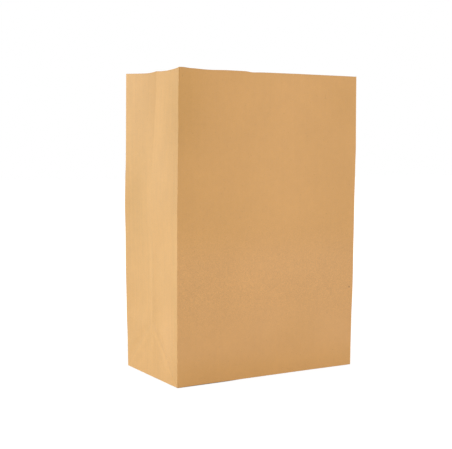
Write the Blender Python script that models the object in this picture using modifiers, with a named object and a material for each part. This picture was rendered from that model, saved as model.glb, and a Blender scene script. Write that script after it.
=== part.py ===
"""A block-bottom brown paper lunch bag, standing open and empty.

The bag is one sheet of kraft paper, folded and glued. A lap down the back wall closes
the sheet to a tube with four walls. The two narrow walls are gussets with a centre
crease, and the foot of the tube is folded to a flat rectangular bottom: an end flap
from each gusset inside, and a long flap from the back and one from the front outside.
The origin is the middle of the base, +Z is up, and the front wall faces -Y.
"""

import math

import bmesh
import bpy
from mathutils import Matrix, Vector

# The open bag, in metres
BAG_WIDTH = 0.182
BAG_DEPTH = 0.096
BAG_HEIGHT = 0.265

# The paper, the radius of its folds, and the slope where a ply ends on another ply
PAPER = 0.00015
FOLD_RADIUS = 0.0008
PLY_EDGE = 0.0003

# The glued laps, and how far the middle of the back lap is from the middle of the wall
BOTTOM_LAP = 0.020
SEAM_LAP = 0.018
SEAM_OFFSET = 0.012
SEAM_RAMP = 0.004

# What the gusset creases keep of their fold: depths and the heights that they span
MOUTH_TUCK = 0.0054
FOOT_TUCK = 0.0021
FOOT_TUCK_TOP = 0.112
WAIST_HEIGHT = 0.152
RIDGE_RISE = 0.0009
RIDGE_REACH = 0.014

# How the walls stand out above the glued base, and the kink at the back's level crease
WALL_SPREAD = 0.0012
SPREAD_HEIGHT = 0.090
PANEL_BULGE = 0.0018
CREASE_KINK = 0.0009
KINK_REACH = 0.040

# How far the cut edge of the mouth lies below its corners
GUSSET_DIP = 0.0013
PANEL_DIP = 0.0005
DIP_HEIGHT = 0.030

# How finely the walls are divided; a gusset's cells below its level crease are square
PANEL_COLUMNS = 14
HALF_GUSSET_COLUMNS = 5
UPPER_ROWS = 20
FOLD_SEGMENTS = 2

KRAFT = (0.70, 0.42, 0.178, 1.0)
KRAFT_ROUGHNESS = 0.82

# Worked out from the sizes above
HALF_WIDTH = BAG_WIDTH / 2
HALF_DEPTH = BAG_DEPTH / 2
CREASE_HEIGHT = BAG_DEPTH / 2
FLAP_LENGTH = BAG_DEPTH / 2 + BOTTOM_LAP / 2
END_FLAP_X = HALF_WIDTH - FLAP_LENGTH
SEAM_EDGE_X = SEAM_OFFSET + SEAM_LAP / 2
SEAM_START_X = SEAM_OFFSET - SEAM_LAP / 2

X_AXIS = Vector((1, 0, 0))
Y_AXIS = Vector((0, 1, 0))
Z_AXIS = Vector((0, 0, 1))


def clear_scene():
    for obj in list(bpy.data.objects):
        bpy.data.objects.remove(obj, do_unlink=True)


def share(value, start, end):
    """How far a value is on its way from start to end, from 0 to 1."""
    return min(max((value - start) / (end - start), 0.0), 1.0)


def ease(value):
    return value * value * (3 - 2 * value)


def spaced(start, end, count):
    """The places that divide a length in equal parts, without its two ends."""
    return [start + (end - start) * i / count for i in range(1, count)]


# Scoring the flat box


def is_wall(face):
    return abs(face.normal.z) < 0.5


def is_panel(face):
    return abs(face.normal.y) > 0.9


def is_back(face):
    return face.normal.y > 0.9


def is_gusset(face):
    return abs(face.normal.x) > 0.9


def is_base(face):
    return face.normal.z < -0.99


def is_gusset_foot(face):
    return is_gusset(face) and face.calc_center_median().z < CREASE_HEIGHT


def is_base_end(face):
    return is_base(face) and abs(face.calc_center_median().x) > END_FLAP_X


def is_base_middle(face):
    return is_base(face) and abs(face.calc_center_median().x) < END_FLAP_X


def score(sheet, point, normal, chosen):
    """Divides the chosen faces along a plane."""
    faces = [face for face in sheet.faces if chosen(face)]
    edges = {edge for face in faces for edge in face.edges}
    corners = {corner for face in faces for corner in face.verts}
    bmesh.ops.bisect_plane(
        sheet,
        geom=[*corners, *edges, *faces],
        dist=1e-6,
        plane_co=point,
        plane_no=normal,
    )


def score_ply_edge(sheet, point, normal, chosen):
    """Two lines, one on each side of a cut edge, between which the surface steps."""
    for side in (-1, 1):
        place = point + normal.normalized() * side * PLY_EDGE / 2
        score(sheet, place, normal, chosen)


def score_walls(sheet):
    rows = spaced(0, CREASE_HEIGHT, HALF_GUSSET_COLUMNS)
    rows += [CREASE_HEIGHT]
    rows += spaced(CREASE_HEIGHT, BAG_HEIGHT, UPPER_ROWS)
    for height in rows:
        score(sheet, Z_AXIS * height, Z_AXIS, is_wall)
    for x in spaced(-HALF_WIDTH, HALF_WIDTH, PANEL_COLUMNS):
        score(sheet, X_AXIS * x, X_AXIS, is_panel)
    for y in spaced(-HALF_DEPTH, HALF_DEPTH, 2 * HALF_GUSSET_COLUMNS):
        score(sheet, Y_AXIS * y, Y_AXIS, is_gusset)
    for side in (-1, 1):
        corner = Vector((0, side * HALF_DEPTH, 0))
        score(sheet, corner, Vector((0, side, 1)), is_gusset_foot)


def score_seam(sheet):
    def carries_seam(face):
        if is_base_middle(face):
            return face.calc_center_median().y > BOTTOM_LAP / 2
        return is_back(face)

    score_ply_edge(sheet, X_AXIS * SEAM_EDGE_X, X_AXIS, carries_seam)
    for x in (SEAM_START_X, SEAM_START_X + SEAM_RAMP):
        score(sheet, X_AXIS * x, X_AXIS, carries_seam)


def score_base(sheet):
    for side in (-1, 1):
        score_ply_edge(sheet, X_AXIS * side * END_FLAP_X, X_AXIS, is_base)
    for side in (-1, 1):
        free_edge = Y_AXIS * side * BOTTOM_LAP / 2
        score_ply_edge(sheet, free_edge, Y_AXIS, is_base_middle)
    for end in (-1, 1):

        def is_this_end(face, end=end):
            return is_base_end(face) and face.calc_center_median().x * end > 0

        for side in (-1, 1):
            corner = Vector((end * HALF_WIDTH, side * HALF_DEPTH, 0))
            across_mitre = Vector((end, -side, 0))
            score_ply_edge(sheet, corner, across_mitre, is_this_end)


def round_folds(sheet):
    folds = [
        edge
        for edge in sheet.edges
        if len(edge.link_faces) == 2 and edge.calc_face_angle() > math.radians(45)
    ]
    bmesh.ops.bevel(
        sheet,
        geom=folds,
        offset=FOLD_RADIUS,
        segments=FOLD_SEGMENTS,
        profile=0.5,
        affect="EDGES",
    )


# The set of the opened paper


def gusset_tuck(across, height):
    """Depth of a gusset inwards: 0 at the corner folds, most at its centre crease."""
    to_crease = 1 - abs(across)
    foot = FOOT_TUCK * (1 - ease(share(height, FOOT_TUCK_TOP, WAIST_HEIGHT)))
    mouth = MOUTH_TUCK * share(height, WAIST_HEIGHT, BAG_HEIGHT)
    # Below the level crease the folds run from the crease's end to the base corners
    foot_share = min(to_crease, height / CREASE_HEIGHT)
    near_crease = max(0.0, 1 - abs(across) * HALF_DEPTH / RIDGE_REACH)
    ridge_top = 1 - ease(share(height, FOOT_TUCK_TOP, WAIST_HEIGHT))
    ridge_foot = share(height, 0, CREASE_HEIGHT)
    ridge = RIDGE_RISE * near_crease * ridge_top * ridge_foot
    return foot * foot_share + mouth * to_crease - ridge


def corner_shift(height, back_share):
    """Outward shift of the corner folds in x and y: 0 at the base."""
    spread = WALL_SPREAD * ease(share(height, 0, SPREAD_HEIGHT))
    below = share(height, 0, CREASE_HEIGHT)
    above = 1 - ease(share(height, CREASE_HEIGHT, CREASE_HEIGHT + KINK_REACH))
    kink = CREASE_KINK * below * above * back_share
    return spread + kink, spread - kink


def mouth_dip(along, across, height):
    in_reach = share(height, BAG_HEIGHT - DIP_HEIGHT, BAG_HEIGHT)
    on_gusset = 1 - abs(across) ** 4
    on_panel = 1 - abs(along) ** 4
    return in_reach * (GUSSET_DIP * on_gusset + PANEL_DIP * on_panel)


def opened(point):
    """Where a point of the flat-walled box lies on the bag as it stands open."""
    along = point.x / HALF_WIDTH
    across = point.y / HALF_DEPTH
    shift_x, shift_y = corner_shift(point.z, (1 + across) / 2)
    bulge = PANEL_BULGE * math.sin(math.pi * share(point.z, 0, BAG_HEIGHT) ** 0.8)
    tuck = gusset_tuck(across, point.z)
    return Vector(
        (
            point.x + along * (shift_x - tuck),
            point.y + across * (shift_y + bulge * (1 - along * along)),
            point.z - mouth_dip(along, across, point.z),
        )
    )


# The glued plies


def plies_at(x, y):
    """The plies between the ground and the bag's lower and upper surface of the base."""
    from_end = HALF_WIDTH - abs(x)
    from_front = HALF_DEPTH + y
    from_back = HALF_DEPTH - y
    in_end_flap = from_end < FLAP_LENGTH
    on_front_flap = from_front < min(FLAP_LENGTH, from_end)
    on_back_flap = from_back < min(FLAP_LENGTH, from_end)
    if on_front_flap:
        below = 0
    elif on_back_flap:
        below = 1 - seam_share(x)
    else:
        below = 2
    if in_end_flap:
        above = 3
    elif from_back < FLAP_LENGTH:
        above = 2
    else:
        above = 1
    return below, above


def seam_share(x):
    """1 on the outer ply's lap, easing in over the inner ply's hidden edge."""
    if x > SEAM_EDGE_X:
        return 0
    return share(x, SEAM_START_X, SEAM_START_X + SEAM_RAMP)


def stack_plies(bag, flat_points):
    """Gives the one-ply shell the thickness of the flaps and laps glued to it."""
    for index, corner in enumerate(bag.data.vertices):
        is_outer = index < len(flat_points)
        x, y, z = flat_points[index % len(flat_points)]
        below, above = plies_at(x, y)
        plies = below if is_outer else above - 1
        corner.co.z += plies * PAPER * (1 - share(z, 0, FOLD_RADIUS))
        if is_outer and y > HALF_DEPTH - FOLD_RADIUS / 10 and z > FOLD_RADIUS / 10:
            corner.co.y += seam_share(x) * PAPER


# The finished bag


def kraft_paper():
    material = bpy.data.materials.new("kraft_paper")
    material.use_nodes = True
    shader = material.node_tree.nodes["Principled BSDF"]
    shader.inputs["Base Color"].default_value = KRAFT
    shader.inputs["Roughness"].default_value = KRAFT_ROUGHNESS
    shader.inputs["Metallic"].default_value = 0.0
    return material


def folded_sheet():
    """The bag's outer surface, an open box, scored, rounded at its folds and opened.

    It also returns where each of its points lay on the flat-walled box.
    """
    sheet = bmesh.new()
    size = Matrix.Diagonal((BAG_WIDTH, BAG_DEPTH, BAG_HEIGHT, 1))
    place = Matrix.Translation(Z_AXIS * BAG_HEIGHT / 2)
    bmesh.ops.create_cube(sheet, size=1, matrix=place @ size)
    mouth = [face for face in sheet.faces if face.normal.z > 0.9]
    bmesh.ops.delete(sheet, geom=mouth, context="FACES_ONLY")
    score_walls(sheet)
    round_folds(sheet)
    sheet.normal_update()
    score_base(sheet)
    score_seam(sheet)
    flat_points = [corner.co.copy() for corner in sheet.verts]
    for corner in sheet.verts:
        corner.co = opened(corner.co)
    mesh = bpy.data.meshes.new("paper_bag")
    sheet.to_mesh(mesh)
    sheet.free()
    return mesh, flat_points


def give_thickness(bag):
    shell = bag.modifiers.new("paper", "SOLIDIFY")
    shell.thickness = PAPER
    shell.offset = -1
    shell.use_even_offset = True
    shell.use_quality_normals = True
    bpy.context.view_layer.objects.active = bag
    bpy.ops.object.modifier_apply(modifier=shell.name)


def stand_on_origin(bag):
    """Moves the mesh so that the middle of its bounding box's foot is the origin."""
    points = [corner.co for corner in bag.data.vertices]
    lowest = Vector(min(point[i] for point in points) for i in range(3))
    highest = Vector(max(point[i] for point in points) for i in range(3))
    middle = (lowest + highest) / 2
    bag.data.transform(Matrix.Translation((-middle.x, -middle.y, -lowest.z)))


def build():
    clear_scene()
    collection = bpy.data.collections.new("paper_lunch_bag")
    bpy.context.scene.collection.children.link(collection)
    mesh, flat_points = folded_sheet()
    bag = bpy.data.objects.new("paper_bag", mesh)
    collection.objects.link(bag)
    give_thickness(bag)
    stack_plies(bag, flat_points)
    stand_on_origin(bag)
    bag.data.materials.append(kraft_paper())


build()
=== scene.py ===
import math

import bmesh
import bpy
from mathutils import Matrix, Vector, noise


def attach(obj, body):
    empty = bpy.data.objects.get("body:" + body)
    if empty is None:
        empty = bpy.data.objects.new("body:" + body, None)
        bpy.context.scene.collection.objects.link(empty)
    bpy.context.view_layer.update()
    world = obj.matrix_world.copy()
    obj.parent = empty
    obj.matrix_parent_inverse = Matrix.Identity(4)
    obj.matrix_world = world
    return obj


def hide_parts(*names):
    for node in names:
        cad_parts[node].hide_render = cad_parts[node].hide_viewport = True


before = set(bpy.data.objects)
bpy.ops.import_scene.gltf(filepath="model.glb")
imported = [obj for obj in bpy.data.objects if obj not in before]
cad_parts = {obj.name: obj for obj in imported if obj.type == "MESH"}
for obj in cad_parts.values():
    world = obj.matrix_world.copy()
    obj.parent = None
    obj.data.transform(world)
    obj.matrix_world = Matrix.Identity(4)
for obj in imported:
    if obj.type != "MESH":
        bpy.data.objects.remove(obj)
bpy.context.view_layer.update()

# One folded and glued kraft sheet, standing open and empty. Lengths are in metres.
# The front wall faces -Y, the back wall carries the glued lap, and +Z is up.

BAG_WIDTH = 0.182
BAG_DEPTH = 0.096
BAG_HEIGHT = 0.265
HALF_WIDTH = BAG_WIDTH / 2
HALF_DEPTH = BAG_DEPTH / 2
CREASE_HEIGHT = BAG_DEPTH / 2

# The paper, its folds, and the step where a glued ply ends on another one
PAPER = 0.00015
PLY_STEP = 0.00020
PLY_EDGE = 0.00008
FOLD_RADIUS = 0.00045
FOLD_SEGMENTS = 3
FOLD_ANGLE = math.radians(45)
SMOOTH_ANGLE = math.radians(30)
BESIDE_FOLD = 0.0009

# The glued laps
BOTTOM_LAP = 0.020
FLAP_LENGTH = BAG_DEPTH / 2 + BOTTOM_LAP / 2
END_FLAP_X = HALF_WIDTH - FLAP_LENGTH
SEAM_LAP = 0.018
SEAM_OFFSET = 0.012
SEAM_EDGE_X = SEAM_OFFSET + SEAM_LAP / 2
SEAM_START_X = SEAM_OFFSET - SEAM_LAP / 2
SEAM_RAMP = 0.004

# The grid on the sheet: square cells, so that the slanting folds run through their corners
CELL = 0.0024
FOOT_ROWS = round(CREASE_HEIGHT / CELL)
WALL_ROWS = round((BAG_HEIGHT - CREASE_HEIGHT) / CELL)
PANEL_COLUMNS = round(BAG_WIDTH / CELL)
GUSSET_COLUMNS = round(BAG_DEPTH / CELL)

X_AXIS = Vector((1, 0, 0))
Y_AXIS = Vector((0, 1, 0))
Z_AXIS = Vector((0, 0, 1))

# How much of a normal or a line points one way, where a face or an edge is picked by it
HARDLY = 0.01
MOSTLY = 0.9
NEARLY = 0.99
WHOLLY = 0.999
MERGE_DISTANCE = 1e-6

MM = 0.001

# How far each upright corner fold stands outside the flat-sided box, in mm by height in mm
NEAR_LEFT_CORNER = (
    (0, -0.30), (25, -0.10), (55, 0.05), (90, 0.20), (120, 0.30), (140, 0.35), (155, 0.25),
    (170, 0.05), (190, -0.05), (205, -0.35), (220, -0.40), (240, -0.30), (265, -0.65),
)
FAR_LEFT_CORNER = (
    (0, 0.0), (15, 0.30), (30, 0.60), (45, 1.25), (60, 1.55), (90, 2.25), (120, 2.50),
    (145, 3.10), (160, 3.00), (170, 2.80), (185, 2.30), (200, 2.10), (240, 1.90), (265, 1.80),
)
NEAR_RIGHT_CORNER = (
    (0, -0.30), (20, -0.20), (35, 0.0), (50, 0.20), (65, 0.70), (80, 0.95), (110, 0.90),
    (125, 1.05), (155, 1.05), (170, 1.30), (185, 1.35), (200, 1.65), (215, 1.40),
    (230, 1.15), (245, 0.95), (265, 0.70),
)
FAR_RIGHT_CORNER = (
    (0, 0.0), (20, 0.20), (45, 1.00), (70, 1.40), (100, 1.80), (140, 2.10),
    (180, 1.90), (220, 1.60), (265, 1.20),
)

# The corner folds by their side in x and y: their course, and its shares outwards in x and y
CORNERS = {
    (-1, -1): (NEAR_LEFT_CORNER, (1.0, 0.0)),
    (-1, 1): (FAR_LEFT_CORNER, (0.78, 0.47)),
    (1, -1): (NEAR_RIGHT_CORNER, (0.60, 0.50)),
    (1, 1): (FAR_RIGHT_CORNER, (0.75, 0.50)),
}

# How deep each gusset's centre crease lies inside its corner folds, in mm by height in mm
LEFT_CREASE = (
    (0, 0.0), (24, 1.2), (48, 2.3), (75, 2.9), (95, 3.1), (110, 3.0), (125, 2.1),
    (137, 1.1), (150, 0.5), (163, 0.6), (180, 1.4), (200, 2.2), (215, 2.9),
    (230, 3.8), (250, 4.7), (265, 5.5),
)
RIGHT_CREASE = (
    (0, 0.0), (24, 1.1), (48, 2.2), (80, 2.6), (110, 2.3), (140, 1.2), (165, 1.0),
    (190, 1.9), (220, 3.3), (245, 4.4), (265, 5.1),
)

# The lift of the cut edge, in mm by the place along each wall from -1 to 1
LEFT_MOUTH = (
    (-1.0, 0.30), (-0.92, -0.40), (-0.79, -0.90), (-0.66, -1.20), (-0.53, -1.35),
    (-0.38, -1.20), (-0.24, -1.00), (-0.08, -0.50), (0.0, -0.20), (0.13, -1.00),
    (0.22, -1.30), (0.32, -1.30), (0.51, -1.00), (0.71, -0.60), (0.92, -0.15), (1.0, 0.0),
)
FRONT_MOUTH = (
    (-1.0, 0.30), (-0.96, 0.35), (-0.93, 0.10), (-0.90, -0.25), (-0.84, -0.40),
    (-0.77, -0.80), (-0.68, -0.95), (-0.59, -0.75), (-0.52, -0.60), (-0.33, -0.60),
    (-0.30, -0.65), (-0.26, -1.10), (-0.23, -1.25), (-0.13, -0.90), (0.14, -0.55),
    (0.32, -0.35), (0.57, -0.25), (0.86, -0.20), (1.0, -0.30),
)
RIGHT_MOUTH = (
    (-1.0, 0.0), (-0.80, -0.55), (-0.50, -1.05), (-0.25, -0.95), (0.0, -0.15),
    (0.20, -0.90), (0.45, -1.15), (0.75, -0.60), (1.0, 0.0),
)
BACK_MOUTH = (
    (-1.0, 0.0), (-0.70, -0.35), (-0.30, -0.50), (0.05, -0.30), (0.20, -0.15),
    (0.25, -0.55), (0.60, -0.45), (1.0, 0.0),
)
MOUTH_REACH = 0.035

# The lift of the front wall's foot off the ground, in mm by the place along it from -1 to 1
FRONT_FOOT = (
    (-1.0, 0.35), (-0.93, 0.50), (-0.80, 0.70), (-0.55, 0.75), (-0.30, 0.60), (0.40, 0.60),
    (0.90, 0.40), (1.0, 0.40),
)
FOOT_REACH = 0.012

# The local ridge that the left crease keeps above the level crease, and where it fades out
RIDGE_RISE = 0.75 * MM
RIDGE_FOOT = (0.046, 0.052)
RIDGE_TOP = (0.100, 0.130)
RIDGE_CREST = 0.0008
RIDGE_FAR_SIDE = 0.0050
RIDGE_NEAR_SIDE = 0.0070
RIDGE_LINES = (0.0003, 0.0008, 0.0013)

# The bend across each slanting fold of a gusset's foot: mm out by mm from the fold, minus
# towards the corner fold. It fades at its foot, at its top and beside the corner fold, and
# the far fold has only a share of it.
MITRE_BEND = ((-17, 0.0), (-9, 0.80), (-3, 0.10), (0.8, 1.25), (9, 0.0))
MITRE_FOOT = (0.002, 0.010)
MITRE_TOP = (0.042, CREASE_HEIGHT)
MITRE_CORNER = (0, 0.008)
FAR_MITRE_SHARE = 0.3

# How far each half of a gusset bows out between its folds, in mm by height in mm
LEFT_FAR_BOW = (
    (0, 0.0), (20, -0.20), (44, -0.65), (57, -1.90), (85, -1.75), (115, -1.35),
    (130, -1.75), (145, -2.35), (160, -2.15), (175, -1.10), (190, -0.25), (205, 0.15),
    (240, 0.85), (265, 1.15),
)
LEFT_NEAR_BOW = (
    (0, 0.0), (20, -0.70), (44, -0.80), (57, -0.60), (85, -0.50), (115, -0.80),
    (130, -0.40), (145, 0.45), (160, 1.10), (190, 1.45), (220, 1.70), (240, 1.50),
    (265, 1.25),
)
RIGHT_FAR_BOW = ((0, 0.0), (44, -0.25), (80, -0.60), (130, -0.30), (180, 0.40), (265, 1.05))
RIGHT_NEAR_BOW = ((0, 0.0), (44, -0.15), (80, 0.20), (130, 0.55), (190, 0.95), (265, 1.15))
GUSSET_BOWS = {
    (-1, -1): LEFT_NEAR_BOW,
    (-1, 1): LEFT_FAR_BOW,
    (1, -1): RIGHT_NEAR_BOW,
    (1, 1): RIGHT_FAR_BOW,
}

# How far the wide walls bow out: profiles from left to right in mm, by height in mm
FRONT_SECTIONS = (
    (0, ((0, 0.0), (182, 0.0))),
    (28, ((0, 0.0), (30, 0.25), (60, 0.25), (90, 0.0), (120, -0.15), (150, -0.10), (182, 0.0))),
    (60, (
        (0, 0.0), (13, 0.45), (30, 0.50), (55, 0.45), (70, 0.05), (85, -0.75), (100, -1.45),
        (112, -1.70), (140, -1.60), (160, -1.20), (182, 0.0),
    )),
    (90, (
        (0, 0.0), (13, 0.55), (30, 0.90), (55, 1.05), (70, 0.65), (85, -0.10), (100, -0.90),
        (112, -1.35), (125, -1.60), (150, -1.60), (165, -1.15), (182, 0.0),
    )),
    (190, (
        (0, 0.0), (13, 1.05), (30, 1.70), (50, 1.75), (70, 1.30), (90, 0.40), (110, -0.75),
        (125, -1.30), (140, -1.40), (160, -0.95), (182, 0.0),
    )),
    (265, (
        (0, 0.0), (13, 1.30), (30, 2.05), (50, 2.10), (70, 1.65), (90, 0.75), (110, -0.40),
        (125, -1.05), (140, -1.15), (160, -0.80), (182, 0.0),
    )),
)
BACK_SECTIONS = (
    (0, ((0, 0.0), (182, 0.0))),
    (60, ((0, 0.0), (30, 0.55), (70, 0.95), (120, 1.10), (155, 0.65), (182, 0.0))),
    (150, ((0, 0.0), (30, 1.0), (70, 1.75), (105, 1.85), (150, 1.0), (182, 0.0))),
    (265, ((0, 0.0), (30, 0.85), (75, 1.40), (120, 1.30), (155, 0.75), (182, 0.0))),
)

# The low waves that paper takes up with the damp of the air. They start above the foot, and
# die out at the corner folds.
BROAD_WAVES_TO_A_METRE = 14.0
BROAD_WAVE_RISE = 0.22 * MM
FINE_WAVES_TO_A_METRE = 55.0
FINE_WAVE_RISE = 0.035 * MM
FINE_WAVE_SHIFT = Vector((7, 3, 1))
WAVES_START = (0, 0.03)
WAVES_EDGE_POWER = 8

# The two shades of the pulp, and the tints between which it wanders
KRAFT_DARK = (0.520, 0.268, 0.081, 1.0)
KRAFT_LIGHT = (0.805, 0.415, 0.125, 1.0)
KRAFT_ROUGHNESS = 0.65
WARM_TINT = (1.0, 0.98, 0.80, 1.0)
COOL_TINT = (1.0, 1.02, 1.20, 1.0)
WHITE = (1.0, 1.0, 1.0, 1.0)
BLACK = (0, 0, 0, 1.0)

# The patterns of the pulp: patches to a metre, finer layers and the strength of each layer
CLOUDING = (22.0, 3.0, 0.55)
MOTTLE = (160.0, 3.0, 0.6)
STREAKS = (420.0, 2.0, 0.5)
FLECKS = (620.0, 1.0, 0.5)
TINT_GRAIN = (1100.0, 2.0, 0.6)
GRAIN = (1800.0, 2.0, 0.6)
FIBRES = (2600.0, 2.0, 0.6)
STREAK_STRETCH = (1.0, 1.0, 0.035)
FIBRE_STRETCH = (1.0, 1.0, 0.4)
FLECK_LEVEL = (0.68, 0.80)

# How strongly each pattern shades the paper, painted light and shade among them, and what the
# gussets and the nap add to it
MIDDLE_TONE = 0.5
CLOUDING_SHADE = 0.26
MOTTLE_SHADE = 0.18
MOTTLE_ON_GUSSET = 0.04
STREAK_SHADE = 0.08
STREAK_ON_GUSSET = 0.18
GRAIN_SHADE = 0.31
GRAIN_ON_GUSSET = 0.36
GRAIN_ON_NAP = 1.45
FLECK_SHADE = 0.25
PAINTED_LOW_LIGHT_SHADE = 0.04
MITRE_PAINTED_STRENGTH = 0.05
WORN_AND_HIGHLIGHT_SHADE = 0.20
CUT_SHADE = 0.12

# How cool the tint is, and how far its grain, the painted sheen on the gussets, the painted light
# low on the front wall and the patches of painted light and shade carry it
MIDDLE_TINT = 0.40
# The gussets are painted cooler, as the sheen of the light that grazes them
PAINTED_SHEEN_TINT_ON_GUSSET = 0.12
TINT_ON_PAINTED_LOW_LIGHT = 0.30
TINT_SWING = 1.1
TINT_SWING_ON_GUSSET = 1.15
TINT_OF_PAINTED_SHADING = 1.5

# Broad patches of painted light and shade on the paper: place, reach across and up, and strength,
# minus where darker
PAINTED_SHADING_PATCHES = (
    ((-0.091, 0.032, 0.155), (0.050, 0.075), -0.15),
    ((-0.091, -0.044, 0.235), (0.040, 0.060), -0.13),
    ((-0.091, 0.030, 0.265), (0.040, 0.040), 0.10),
    ((-0.091, -0.028, 0.042), (0.024, 0.045), 0.15),
    ((0.030, -0.048, 0.036), (0.042, 0.026), -0.10),
    ((0.078, -0.048, 0.240), (0.030, 0.035), -0.07),
)

# A point of the flat sheet belongs to a wall within this distance of the wall's plane
ON_WALL = 0.0001

# The front wall has painted light low down, paler and cooler, and its nap stands up there: each
# fades over these heights
PAINTED_LOW_LIGHT_TOP = (0.135, 0.095)
PAINTED_LOW_LIGHT_FOOT = (0.006, 0.030)
NAP_TOP = (0.165, 0.070)
NAP_FOOT = (0.026, 0.080)

# A dark bark speck in the pulp of the front wall: its place, its soft rim and its shade
SPECK_X = 0.0869
SPECK_Z = 0.0733
SPECK_SIZE = (0.0011, 0.0003)
SPECK_SHADE = (0.52, 0.44, 0.42, 1.0)

# The painted highlight and shade along the slanting folds: how far from the fold each starts
# and ends, minus towards the corner fold, and the heights over which both fade out
MITRE_PAINTED_LIGHT = (-0.0002, 0.0010)
MITRE_PAINTED_LIGHT_END = (0.0060, 0.0020)
MITRE_PAINTED_SHADE = (-0.0018, -0.0008)
MITRE_PAINTED_SHADE_END = (0.0002, -0.0004)
MITRE_PAINTED_TOP = (CREASE_HEIGHT, 0.040)

# Fibres rubbed up along the folds together with a painted highlight there, the darker cut edge,
# and the relief of the fibres
WORN_AND_HIGHLIGHT_REACH = (0.0008, 0.0002)
CUT_EDGE = (BAG_HEIGHT - 0.0012, BAG_HEIGHT - 0.0004)
FIBRE_RELIEF = 0.00004
FIBRE_STRENGTH = 0.25

# The white floor: what it sends to the bag and to the eye
FLOOR_SIZE = 8
FLOOR_PAINT = (0.76, 0.80, 0.88, 1.0)
FLOOR_BOUNCE = (0.91, 1.03, 1.43, 1.0)
FLOOR_LIGHT = 0.60
FLOOR_LIGHT_SHARE = 0.40
FLOOR_SEEN = 1.20
FLOOR_SEEN_BESIDE = 0.75
FLOOR_SEEN_FAR = 0.25

# Where the floor turns white to the eye, from the bag's foot outwards. Past the end of the
# dark gap, between these places in x, the white reaches further in under the foot.
FLOOR_EDGE = (-0.0016, -0.0008)
FLOOR_REACH = 0.0020
GAP_END = (-0.045, -0.015)
FLOOR_FAR = (0.02, 0.35)

# A painted shadow in the floor's glow in front of the bag: how much of the glow it takes, and how
# far out
FOOT_SHADE = 0.75
FOOT_SHADE_START = (-0.002, 0.0)
FOOT_SHADE_END = (0.07, 0.0)
FOOT_SHADE_SIDES = (HALF_WIDTH + 0.03, HALF_WIDTH)

# The studio: its plain light, and softboxes by name, place, aim, size, watts and colour
ROOM_LIGHT = 0.59
BACKDROP = 1.0
SOFTBOXES = (
    ("key", (-1.10, 0.95, 0.22), (-0.09, 0, 0.13), (0.6, 0.6), 8.05, (0.87, 0.985, 0.98)),
    ("low", (-0.60, -0.045, 0.05), (-0.09, -0.04, 0.05), (0.2, 0.08), 0.85, (0.83, 1.02, 1.23)),
    ("edge", (-0.45, 0.42, 0.42), (-0.09, 0.04, 0.24), (0.15, 0.15), 0.40, (0.87, 0.99, 1.0)),
    ("fill", (4.05, -2.99, 0.50), (0, -0.05, 0.16), (2.4, 1.6), 172, (1.0, 0.972, 0.91)),
)

# The camera, with its focal length in pixels of a picture 452 by 449
CAMERA_PLACE = Vector((-0.4633, -0.7491, 0.2042))
CAMERA_YAW = math.radians(30.833)
CAMERA_PITCH = math.radians(4.811)
CAMERA_ROLL = math.radians(0.446)
FOCAL_PIXELS = 970.0
PICTURE_PIXELS = 452
SENSOR_WIDTH = 36.0


# Numbers along a line


def share(value, start, end):
    """How far a value is on its way from start to end, from 0 to 1."""
    return min(max((value - start) / (end - start), 0.0), 1.0)


def ease(value):
    """A share with a smooth start and end."""
    return value * value * (3 - 2 * value)


def between(low, high, part):
    return low + (high - low) * part


def along_curve(stops, place):
    """A smooth curve through the stops, read at a place."""
    if place <= stops[0][0]:
        return stops[0][1]
    if place >= stops[-1][0]:
        return stops[-1][1]
    last = len(stops) - 1
    i = next(n for n in range(last) if place <= stops[n + 1][0])

    def slope(n):
        before, after = max(n - 1, 0), min(n + 1, last)
        return (stops[after][1] - stops[before][1]) / (stops[after][0] - stops[before][0])

    (start, low), (end, high) = stops[i], stops[i + 1]
    span = end - start
    t = (place - start) / span
    return (
        low * (1 + 2 * t) * (1 - t) ** 2
        + slope(i) * span * t * (1 - t) ** 2
        + high * t * t * (3 - 2 * t)
        + slope(i + 1) * span * t * t * (t - 1)
    )


def read_mm(stops, place):
    """The same for a curve with both its numbers in mm, between lengths in metres."""
    return along_curve(stops, place / MM) * MM


# Working on the sheet by hand


def deselect_objects():
    for thing in list(bpy.context.selected_objects):
        thing.select_set(False)


def take(piece):
    deselect_objects()
    piece.select_set(True)
    bpy.context.view_layer.objects.active = piece


def start_editing(piece):
    take(piece)
    bpy.ops.object.mode_set(mode="EDIT")
    bpy.ops.mesh.select_mode(type="FACE")


def finish_editing():
    bpy.ops.object.mode_set(mode="OBJECT")


def pick_faces(piece, wanted):
    bpy.ops.mesh.select_all(action="DESELECT")
    sheet = bmesh.from_edit_mesh(piece.data)
    for face in sheet.faces:
        if wanted(face):
            face.select_set(True)
    bmesh.update_edit_mesh(piece.data)


def pick_edges(piece, wanted):
    bpy.ops.mesh.select_all(action="DESELECT")
    sheet = bmesh.from_edit_mesh(piece.data)
    sheet.normal_update()
    for edge in sheet.edges:
        if wanted(edge):
            edge.select_set(True)
    bmesh.update_edit_mesh(piece.data)


def middle_of(edge):
    return (edge.verts[0].co + edge.verts[1].co) / 2


def runs_along(edge, axis):
    line = (edge.verts[1].co - edge.verts[0].co).normalized()
    return abs(line.dot(axis)) > WHOLLY


def is_fold(edge):
    return len(edge.link_faces) == 2 and edge.calc_face_angle() > FOLD_ANGLE


def is_wall(face):
    return abs(face.normal.z) < HARDLY


def is_back(face):
    return face.normal.y > MOSTLY


def is_gusset(face):
    return abs(face.normal.x) > MOSTLY


def is_left_gusset(face):
    return face.normal.x < -MOSTLY


def is_gusset_foot(face):
    return is_gusset(face) and face.calc_center_median().z < CREASE_HEIGHT


def is_lid(face):
    return face.normal.z > MOSTLY


def is_base(face):
    return face.normal.z < -NEARLY


def is_wall_or_base(face):
    return is_wall(face) or is_base(face)


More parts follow.
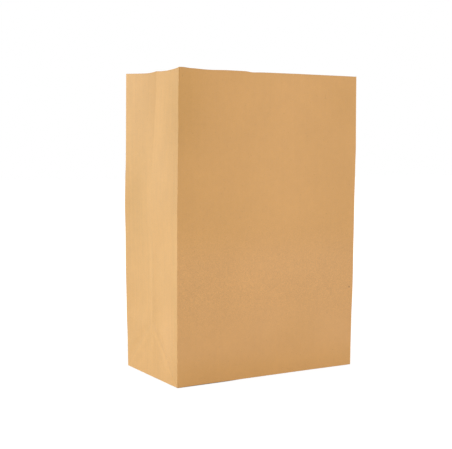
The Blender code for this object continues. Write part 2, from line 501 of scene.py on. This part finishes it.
def is_base_end(face):
    return is_base(face) and abs(face.calc_center_median().x) > END_FLAP_X


def is_base_middle(face):
    return is_base(face) and abs(face.calc_center_median().x) < END_FLAP_X


def score(piece, point, normal, wanted):
    """A line pressed into the wanted faces, where a plane meets them."""
    pick_faces(piece, wanted)
    bpy.ops.mesh.bisect(plane_co=point, plane_no=normal, threshold=MERGE_DISTANCE)


def score_ply_edge(piece, point, normal, wanted):
    """Two close lines, between which the paper steps by one ply."""
    for side in (-1, 1):
        place = point + normal.normalized() * side * PLY_EDGE / 2
        score(piece, place, normal, wanted)


def divide_edges(piece, rows, wanted):
    pick_edges(piece, wanted)
    bpy.ops.mesh.subdivide(number_cuts=rows - 1)


def divide_walls(piece):
    """A grid of square cells on the walls and the base, with a row at the level crease."""

    def is_upright(edge):
        return runs_along(edge, Z_AXIS)

    def is_below_crease(edge):
        return is_upright(edge) and middle_of(edge).z < CREASE_HEIGHT

    def is_above_crease(edge):
        return is_upright(edge) and middle_of(edge).z > CREASE_HEIGHT

    score(piece, Z_AXIS * CREASE_HEIGHT, Z_AXIS, is_wall)
    divide_edges(piece, FOOT_ROWS, is_below_crease)
    divide_edges(piece, WALL_ROWS, is_above_crease)
    divide_edges(piece, PANEL_COLUMNS, lambda edge: runs_along(edge, X_AXIS))
    divide_edges(piece, GUSSET_COLUMNS, lambda edge: runs_along(edge, Y_AXIS))


def round_folds(piece):
    pick_edges(piece, is_fold)
    bpy.ops.mesh.bevel(
        offset=FOLD_RADIUS,
        offset_type="OFFSET",
        segments=FOLD_SEGMENTS,
        profile=0.5,
        affect="EDGES",
    )


def score_beside_folds(piece):
    """Lines close to each fold, so that its turn stays narrow."""
    for side in (-1, 1):
        score(piece, X_AXIS * side * (HALF_WIDTH - BESIDE_FOLD), X_AXIS, is_wall_or_base)
        score(piece, Y_AXIS * side * (HALF_DEPTH - BESIDE_FOLD), Y_AXIS, is_wall_or_base)
    score(piece, Z_AXIS * BESIDE_FOLD, Z_AXIS, is_wall_or_base)


def score_mitres(piece):
    for side in (-1, 1):
        score(piece, Y_AXIS * side * HALF_DEPTH, Vector((0, side, 1)), is_gusset_foot)


def score_ridge(piece):
    for line in RIDGE_LINES:
        score(piece, Y_AXIS * line, Y_AXIS, is_left_gusset)


def score_end_flap(piece, end):
    """The slanting edges of the long flaps over one end flap."""

    def is_this_end(face):
        return is_base_end(face) and face.calc_center_median().x * end > 0

    for side in (-1, 1):
        corner = Vector((end * HALF_WIDTH, side * HALF_DEPTH, 0))
        score_ply_edge(piece, corner, Vector((end, -side, 0)), is_this_end)


def score_base(piece):
    for side in (-1, 1):
        score_ply_edge(piece, X_AXIS * side * END_FLAP_X, X_AXIS, is_base)
    for side in (-1, 1):
        score_ply_edge(piece, Y_AXIS * side * BOTTOM_LAP / 2, Y_AXIS, is_base_middle)
    for end in (-1, 1):
        score_end_flap(piece, end)


def score_seam(piece):
    """Both edges of the glued lap, up the back wall and on the long flap under it."""

    def carries_seam(face):
        if is_base_middle(face):
            return face.calc_center_median().y > BOTTOM_LAP / 2
        return is_back(face)

    score_ply_edge(piece, X_AXIS * SEAM_EDGE_X, X_AXIS, carries_seam)
    score_ply_edge(piece, X_AXIS * SEAM_START_X, X_AXIS, carries_seam)


def flat_bag():
    """The scored and folded sheet with flat walls, before it is opened."""
    bpy.ops.mesh.primitive_cube_add(size=1, location=(0, 0, BAG_HEIGHT / 2))
    piece = bpy.context.active_object
    piece.name = "bag_sheet"
    piece.data.name = "bag_sheet"
    bpy.ops.transform.resize(value=(BAG_WIDTH, BAG_DEPTH, BAG_HEIGHT))
    bpy.ops.object.transform_apply(location=True, rotation=True, scale=True)
    start_editing(piece)
    pick_faces(piece, is_lid)
    bpy.ops.mesh.delete(type="ONLY_FACE")
    bpy.ops.mesh.select_mode(type="EDGE")
    divide_walls(piece)
    round_folds(piece)
    bpy.ops.mesh.select_mode(type="FACE")
    score_beside_folds(piece)
    score_mitres(piece)
    score_ridge(piece)
    score_base(piece)
    score_seam(piece)
    finish_editing()
    return piece


# The set of the opened paper


def corner_shift(along, across, height):
    """How far the four corner folds carry a point outwards, each by how near it is."""
    right = (1 + along) / 2
    back = (1 + across) / 2
    shift_x = shift_y = 0.0
    for (side_x, side_y), (course, (share_x, share_y)) in CORNERS.items():
        nearness = (right if side_x > 0 else 1 - right) * (back if side_y > 0 else 1 - back)
        out = read_mm(course, height) * nearness
        shift_x += side_x * out * share_x
        shift_y += side_y * out * share_y
    return shift_x, shift_y


def tuck(side, across, height):
    """How far a gusset's wall lies inside the line between its corner folds."""
    crease = LEFT_CREASE if side < 0 else RIGHT_CREASE
    bows = GUSSET_BOWS[side, 1 if across > 0 else -1]
    to_crease = max(0.0, 1 - abs(across))
    bow = read_mm(bows, height) * 4 * to_crease * (1 - to_crease)
    # Below the level crease the folds run from the crease's end to the base corners
    inside_folds = min(to_crease, height / CREASE_HEIGHT)
    return read_mm(crease, max(height, CREASE_HEIGHT)) * inside_folds - bow


def mitre_bend(across, height):
    """The fold from the level crease to a base corner stands up a little."""
    from_corner = (1 - abs(across)) * HALF_DEPTH
    from_fold = (from_corner - height) / math.sqrt(2)
    ends = ease(share(height, *MITRE_FOOT)) * (1 - ease(share(height, *MITRE_TOP)))
    ends *= ease(share(from_corner, *MITRE_CORNER)) * (FAR_MITRE_SHARE if across > 0 else 1)
    return ends * read_mm(MITRE_BEND, from_fold)


def ridge(across, height):
    """The strip beside the left crease that stands proud of the tucked wall."""
    from_crest = across * HALF_DEPTH - RIDGE_CREST
    foot = ease(share(height, *RIDGE_FOOT))
    top = 1 - ease(share(height, *RIDGE_TOP))
    reach = RIDGE_FAR_SIDE if from_crest > 0 else RIDGE_NEAR_SIDE
    return RIDGE_RISE * foot * top * max(0.0, 1 - abs(from_crest) / reach)


def panel_bow(along, across, height):
    """How far the wide wall on a point's side bows out, lofted through its profiles."""
    sections = FRONT_SECTIONS if across < 0 else BACK_SECTIONS
    place = (1 + along) * HALF_WIDTH
    level = height / MM
    upper = next((n for n, section in enumerate(sections) if level <= section[0]), -1)
    (low, below), (high, above) = sections[max(upper - 1, 0)], sections[upper]
    part = ease(share(level, low, high)) if high > low else 1.0
    return between(read_mm(below, place), read_mm(above, place), part)


def mouth_lift(along, across, height):
    """The wave of the cut edge, which dies out within its reach below."""
    in_reach = share(height, BAG_HEIGHT - MOUTH_REACH, BAG_HEIGHT) ** 2
    if in_reach == 0:
        return 0
    on_gusset = abs(along) > 1 - FOLD_RADIUS / 2 / HALF_WIDTH
    if on_gusset:
        stops = LEFT_MOUTH if along < 0 else RIGHT_MOUTH
        return in_reach * along_curve(stops, across) * MM
    stops = FRONT_MOUTH if across < 0 else BACK_MOUTH
    return in_reach * along_curve(stops, along) * MM


def foot_lift(along, across, height):
    """The folded edge under the front wall is bent up a little between its corners."""
    from_front = (1 + across) * HALF_DEPTH
    near = (1 - share(height, 0, FOOT_REACH)) * (1 - share(from_front, 0, FOOT_REACH))
    return near * near * along_curve(FRONT_FOOT, along) * MM


def cockle(point):
    """The low waves at a point of the sheet."""
    broad = noise.noise(point * BROAD_WAVES_TO_A_METRE) * BROAD_WAVE_RISE
    fine = noise.noise(point * FINE_WAVES_TO_A_METRE + FINE_WAVE_SHIFT) * FINE_WAVE_RISE
    return broad + fine


def opened(flat):
    """Where a point of the flat-sided bag lies on the bag as it stands open."""
    along = flat.x / HALF_WIDTH
    across = flat.y / HALF_DEPTH
    height = flat.z
    side = -1 if along < 0 else 1
    inward = tuck(side, across, height) - mitre_bend(across, height)
    if side < 0:
        inward -= ridge(across, height)
    waves = cockle(flat) * ease(share(height, *WAVES_START))
    shift_x, shift_y = corner_shift(along, across, height)
    shift_x -= along * (inward - waves * (1 - across**WAVES_EDGE_POWER))
    shift_y += across * (panel_bow(along, across, height) + waves * (1 - along**WAVES_EDGE_POWER))
    lift = mouth_lift(along, across, height) + foot_lift(along, across, height)
    return Vector((flat.x + shift_x, flat.y + shift_y, height + lift))


# The glued plies


def seam_share(x):
    """1 on the outer ply's lap, rising over the inner ply's hidden edge."""
    if x > SEAM_EDGE_X:
        return 0
    return share(x, SEAM_START_X - SEAM_RAMP, SEAM_START_X)


def plies_at(x, y):
    """The plies between the ground and the lower and the upper surface of the base."""
    from_end = HALF_WIDTH - abs(x)
    from_front = HALF_DEPTH + y
    from_back = HALF_DEPTH - y
    if from_front < min(FLAP_LENGTH, from_end):
        below = 0
    elif from_back < min(FLAP_LENGTH, from_end):
        below = 1 - seam_share(x)
    else:
        below = 2
    if from_end < FLAP_LENGTH:
        above = 3
    elif from_back < FLAP_LENGTH:
        above = 2
    else:
        above = 1
    return below, above


def stack_plies(piece, flat_places):
    """Gives the one-ply shell the thickness of the flaps and laps glued to it."""
    count = len(flat_places)
    hair = FOLD_RADIUS / 10
    for corner in piece.data.vertices:
        is_outer = corner.index < count
        x, y, z = flat_places[corner.index % count]
        below, above = plies_at(x, y)
        plies = below if is_outer else above - 1
        corner.co.z += plies * PLY_STEP * (1 - share(z, 0, FOLD_RADIUS))
        on_back = y > HALF_DEPTH - hair and z > hair
        if on_back and (is_outer or x < SEAM_START_X):
            corner.co.y += seam_share(x) * PLY_STEP


def give_thickness(piece):
    shell = piece.modifiers.new("paper", "SOLIDIFY")
    shell.thickness = PAPER
    shell.offset = -1
    shell.use_even_offset = True
    shell.use_quality_normals = True
    take(piece)
    bpy.ops.object.modifier_apply(modifier=shell.name)


def record_flat_places(piece, flat_places):
    """Keeps each point's place on the flat-sided bag, for patterns that follow the sheet."""
    count = len(flat_places)
    piece.data.attributes.new("flat_place", "FLOAT_VECTOR", "POINT")
    for index, kept in enumerate(piece.data.attributes["flat_place"].data):
        kept.vector = flat_places[index % count]


def fold_bag():
    """The finished bag: scored, folded, opened and given its thickness."""
    piece = flat_bag()
    flat_places = [corner.co.copy() for corner in piece.data.vertices]
    for corner in piece.data.vertices:
        corner.co = opened(corner.co)
    piece.data.update()
    give_thickness(piece)
    stack_plies(piece, flat_places)
    piece.data.update()
    record_flat_places(piece, flat_places)
    take(piece)
    bpy.ops.object.shade_smooth_by_angle(angle=SMOOTH_ANGLE)
    return piece


# Materials


class Wire:
    """A socket of a material, with the sums that add Math nodes."""

    def __init__(self, bench, socket):
        self.bench = bench
        self.socket = socket

    def math(self, operation, other):
        return self.bench.math(operation, self, other)

    def __add__(self, other):
        return self.math("ADD", other)

    __radd__ = __add__

    def __sub__(self, other):
        return self.math("SUBTRACT", other)

    def __rsub__(self, other):
        return self.bench.math("SUBTRACT", other, self)

    def __mul__(self, other):
        return self.math("MULTIPLY", other)

    def __truediv__(self, other):
        return self.math("DIVIDE", other)

    def __pow__(self, other):
        return self.math("POWER", other)

    def __abs__(self):
        return self.bench.math("ABSOLUTE", self)

    def at_most(self, other):
        return self.math("MINIMUM", other)

    def at_least(self, other):
        return self.math("MAXIMUM", other)

    def over(self, other):
        return self.math("GREATER_THAN", other)

    def under(self, other):
        return self.math("LESS_THAN", other)

    def rise(self, start, end):
        """0 up to start, 1 from end on, and smooth between them, also where end is lower."""
        low, high = min(start, end), max(start, end)
        step = self.bench.node(
            "ShaderNodeMapRange",
            {"interpolation_type": "SMOOTHSTEP"},
            {"Value": self, "From Min": low, "From Max": high},
        )
        return step if start < end else 1 - step


class Bench:
    """The nodes of one material, or of the world."""

    def __init__(self, finish):
        finish.use_nodes = True
        self.tree = finish.node_tree
        self.tree.nodes.clear()

    def node(self, kind, settings=None, inputs=None, output=0):
        made = self.tree.nodes.new(kind)
        for name, value in (settings or {}).items():
            setattr(made, name, value)
        for name, value in (inputs or {}).items():
            if isinstance(value, Wire):
                self.tree.links.new(value.socket, made.inputs[name])
            else:
                made.inputs[name].default_value = value
        return Wire(self, made.outputs[output]) if made.outputs else None

    def math(self, operation, *values):
        return self.node("ShaderNodeMath", {"operation": operation}, dict(enumerate(values)))

    def parts(self, vector):
        split = self.node("ShaderNodeSeparateXYZ", inputs={"Vector": vector}).socket.node
        return [Wire(self, output) for output in split.outputs]

    def noise(self, vector, scale, detail, roughness):
        """A soft pattern around 0.5."""
        inputs = {"Vector": vector, "Scale": scale, "Detail": detail, "Roughness": roughness}
        return self.node("ShaderNodeTexNoise", inputs=inputs, output="Fac")

    def mix(self, factor, first, second):
        colours = {"Factor": factor, "A": first, "B": second}
        return self.node("ShaderNodeMix", {"data_type": "RGBA"}, colours, output="Result")

    def mix_shaders(self, factor, first, second):
        return self.node("ShaderNodeMixShader", inputs={0: factor, 1: first, 2: second})

    def times(self, vector, factors):
        settings = {"operation": "MULTIPLY"}
        return self.node("ShaderNodeVectorMath", settings, {0: vector, 1: factors})


def middle_value(a, b, c):
    return a.at_most(b).at_least(a.at_least(b).at_most(c))


def gusset_share(bench, place):
    """1 on the two narrow walls."""
    x, _, _ = bench.parts(place)
    return abs(x).over(HALF_WIDTH - ON_WALL)


def front_share(bench, place):
    """1 on the front wall."""
    _, y, _ = bench.parts(place)
    return y.under(ON_WALL - HALF_DEPTH)


def front_band(bench, place, top, foot):
    """1 on a band across the front wall, which fades out at its top and its foot."""
    _, _, z = bench.parts(place)
    return z.rise(*top) * z.rise(*foot) * front_share(bench, place)


def painted_shading_patch(bench, place, centre, reach, strength):
    """One broad soft patch of painted light, or of painted shade where its strength is below 0,
    which fades out to its reach.
    """
    x, y, z = bench.parts(place)
    centre_x, centre_y, centre_z = centre
    across, up = reach
    level = (x - centre_x) ** 2 + (y - centre_y) ** 2
    away = (level / across**2 + (z - centre_z) ** 2 / up**2) ** 0.5
    return away.rise(1, 0) * strength


def painted_mitre_shading(bench, place, on_gusset):
    """Painted highlight and shade along the slanting folds at a gusset's foot: light on one side,
    dark on the other.
    """
    _, y, z = bench.parts(place)
    from_fold = (HALF_DEPTH - abs(y) - z) * math.sqrt(0.5)
    light = from_fold.rise(*MITRE_PAINTED_LIGHT) * from_fold.rise(*MITRE_PAINTED_LIGHT_END)
    dark = from_fold.rise(*MITRE_PAINTED_SHADE) * from_fold.rise(*MITRE_PAINTED_SHADE_END)
    return (light - dark) * on_gusset * z.rise(*MITRE_PAINTED_TOP)


def kraft_tone(bench, place, on_gusset, painted_low_light, painted_shading):
    """How light the paper is at a place on the sheet, around the middle tone, with painted light
    and shade in it.
    """
    x, y, z = bench.parts(place)
    nap = front_band(bench, place, NAP_TOP, NAP_FOOT)
    clouding = bench.noise(place, *CLOUDING) - 0.5
    mottle = bench.noise(place, *MOTTLE) - 0.5
    streaks = bench.noise(bench.times(place, STREAK_STRETCH), *STREAKS) - 0.5
    grain = bench.noise(place, *GRAIN) - 0.5
    flecks = bench.noise(place, *FLECKS).rise(*FLECK_LEVEL)
    tone = MIDDLE_TONE + clouding * CLOUDING_SHADE + painted_shading + painted_low_light * PAINTED_LOW_LIGHT_SHADE
    tone += mottle * (MOTTLE_SHADE + on_gusset * MOTTLE_ON_GUSSET) - flecks * FLECK_SHADE
    tone += streaks * (STREAK_SHADE + on_gusset * STREAK_ON_GUSSET)
    tone += grain * (GRAIN_SHADE + on_gusset * GRAIN_ON_GUSSET + nap * GRAIN_ON_NAP)
    # Painted highlight and shade along the slanting folds at the gussets' feet
    tone += painted_mitre_shading(bench, place, on_gusset) * MITRE_PAINTED_STRENGTH

    # Along the folds the paper is lighter, partly from fibres rubbed up and partly as a painted
    # highlight, and the cut edge is a little darker
    from_fold = middle_value(HALF_WIDTH - abs(x), HALF_DEPTH - abs(y), z)
    return tone + from_fold.rise(*WORN_AND_HIGHLIGHT_REACH) * WORN_AND_HIGHLIGHT_SHADE - z.rise(*CUT_EDGE) * CUT_SHADE


def kraft_tint(bench, place, on_gusset, painted_low_light, painted_shading):
    """The tint of the paper at a place on the sheet, which swings from warm to cool, with painted
    sheen, light and shade in it.
    """
    grain = bench.noise(place, *TINT_GRAIN) - 0.5
    coolness = grain * (TINT_SWING + on_gusset * TINT_SWING_ON_GUSSET) + MIDDLE_TINT
    coolness += on_gusset * PAINTED_SHEEN_TINT_ON_GUSSET + painted_low_light * TINT_ON_PAINTED_LOW_LIGHT + painted_shading * TINT_OF_PAINTED_SHADING
    return bench.mix(coolness, WARM_TINT, COOL_TINT)


def dark_speck(bench, place):
    """1 on the bark speck of the front wall."""
    x, _, z = bench.parts(place)
    from_speck = ((x - SPECK_X) ** 2 + (z - SPECK_Z) ** 2) ** 0.5
    return from_speck.rise(*SPECK_SIZE) * front_share(bench, place)


def kraft_paper():
    material = bpy.data.materials.new("kraft_paper")
    bench = Bench(material)
    place = bench.node("ShaderNodeAttribute", {"attribute_name": "flat_place"}, output="Vector")
    on_gusset = gusset_share(bench, place)
    # Painted light low on the front wall, paler and cooler
    painted_low_light = front_band(bench, place, PAINTED_LOW_LIGHT_TOP, PAINTED_LOW_LIGHT_FOOT)
    # Patches of painted light and shade, from the list above
    painted_shading = sum(painted_shading_patch(bench, place, *shading_patch) for shading_patch in PAINTED_SHADING_PATCHES)
    tone = kraft_tone(bench, place, on_gusset, painted_low_light, painted_shading)
    tint = kraft_tint(bench, place, on_gusset, painted_low_light, painted_shading)
    speck = bench.mix(dark_speck(bench, place), WHITE, SPECK_SHADE)
    colour = bench.times(bench.mix(tone, KRAFT_DARK, KRAFT_LIGHT), tint)
    fibres = bench.noise(bench.times(place, FIBRE_STRETCH), *FIBRES)
    relief = bench.node(
        "ShaderNodeBump",
        inputs={"Strength": FIBRE_STRENGTH, "Distance": FIBRE_RELIEF, "Height": fibres},
    )
    paper = {
        "Base Color": bench.times(colour, speck),
        "Roughness": KRAFT_ROUGHNESS,
        "Normal": relief,
    }
    shader = bench.node("ShaderNodeBsdfPrincipled", inputs=paper)
    bench.node("ShaderNodeOutputMaterial", inputs={"Surface": shader})
    return material


def seen_by_eye(bench):
    """1 where the camera looks, straight or by a reflection, and 0 for all other light."""
    rays = bench.node("ShaderNodeLightPath").socket.node.outputs
    straight, mirrored, through = (
        Wire(bench, rays[f"Is {kind} Ray"]) for kind in ("Camera", "Glossy", "Transmission")
    )
    return straight.at_least(mirrored).at_least(through)


def floor_shade(bench, x, y):
    """A painted shadow in the floor's glow: how much of it is taken from the strip in front of
    the bag.
    """
    from_front = -HALF_DEPTH - y
    beside_front = from_front.rise(*FOOT_SHADE_START) * from_front.rise(*FOOT_SHADE_END)
    return beside_front * abs(x).rise(*FOOT_SHADE_SIDES) * FOOT_SHADE


def floor_white():
    """A lit white sheet: bright to the eye, plainer to the bag that stands on it."""
    material = bpy.data.materials.new("floor_white")
    bench = Bench(material)
    x, y, _ = bench.parts(bench.node("ShaderNodeTexCoord", output="Object"))
    from_foot = (abs(x) - HALF_WIDTH).at_least(abs(y) - HALF_DEPTH)
    # The dark gap under the lifted edge shows only near the left corner
    from_foot += x.rise(*GAP_END) * FLOOR_REACH
    white = from_foot.rise(*FLOOR_EDGE) * FLOOR_SEEN_BESIDE
    white += from_foot.rise(*FLOOR_FAR) * FLOOR_SEEN_FAR
    seen = seen_by_eye(bench)
    glow_share = seen * white + (1 - seen) * FLOOR_LIGHT_SHARE
    bounce = bench.mix(floor_shade(bench, x, y), FLOOR_BOUNCE, BLACK)
    paint = bench.node("ShaderNodeBsdfDiffuse", inputs={"Color": FLOOR_PAINT})
    low = bench.node("ShaderNodeEmission", inputs={"Color": bounce, "Strength": FLOOR_LIGHT})
    high = bench.node("ShaderNodeEmission", inputs={"Color": WHITE, "Strength": FLOOR_SEEN})
    lit = bench.mix_shaders(glow_share, paint, bench.mix_shaders(seen, low, high))
    bench.node("ShaderNodeOutputMaterial", inputs={"Surface": lit})
    return material


# The floor, the light and the camera


def lay_floor():
    bpy.ops.mesh.primitive_plane_add(size=FLOOR_SIZE, location=(0, 0, 0))
    floor = bpy.context.active_object
    floor.name = "floor"
    floor.data.materials.append(floor_white())


def light_world():
    """Plain light from all round, and white where the eye sees past the floor."""
    world = bpy.data.worlds.new("studio")
    bpy.context.scene.world = world
    bench = Bench(world)
    room = bench.node("ShaderNodeBackground", inputs={"Color": WHITE, "Strength": ROOM_LIGHT})
    backdrop = bench.node("ShaderNodeBackground", inputs={"Color": WHITE, "Strength": BACKDROP})
    lit = bench.mix_shaders(seen_by_eye(bench), room, backdrop)
    bench.node("ShaderNodeOutputWorld", inputs={"Surface": lit})


def hang_softbox(name, place, aim, size, power, colour):
    lamp = bpy.data.lights.new(name, "AREA")
    lamp.shape = "RECTANGLE"
    lamp.size, lamp.size_y = size
    lamp.energy = power
    lamp.color = colour
    holder = bpy.data.objects.new(name, lamp)
    bpy.context.scene.collection.objects.link(holder)
    holder.location = place
    holder.rotation_euler = (Vector(aim) - Vector(place)).to_track_quat("-Z", "Y").to_euler()


def place_camera():
    level_ahead = Vector((math.sin(CAMERA_YAW), math.cos(CAMERA_YAW), 0))
    level_right = Vector((math.cos(CAMERA_YAW), -math.sin(CAMERA_YAW), 0))
    ahead = level_ahead * math.cos(CAMERA_PITCH) - Z_AXIS * math.sin(CAMERA_PITCH)
    upright = level_right.cross(ahead)
    right = level_right * math.cos(CAMERA_ROLL) + upright * math.sin(CAMERA_ROLL)
    up = upright * math.cos(CAMERA_ROLL) - level_right * math.sin(CAMERA_ROLL)
    lens = bpy.data.cameras.new("camera")
    lens.sensor_fit = "HORIZONTAL"
    lens.sensor_width = SENSOR_WIDTH
    lens.lens = FOCAL_PIXELS * SENSOR_WIDTH / PICTURE_PIXELS
    holder = bpy.data.objects.new("camera", lens)
    bpy.context.scene.collection.objects.link(holder)
    turned = Matrix((right, up, -ahead)).transposed().to_4x4()
    holder.matrix_world = Matrix.Translation(CAMERA_PLACE) @ turned
    bpy.context.scene.camera = holder


deselect_objects()
bag = fold_bag()
bag.data.materials.append(kraft_paper())
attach(bag, "root")
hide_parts("paper_bag")

lay_floor()
light_world()
for softbox in SOFTBOXES:
    hang_softbox(*softbox)
place_camera()
bpy.context.scene.view_settings.view_transform = "Standard"
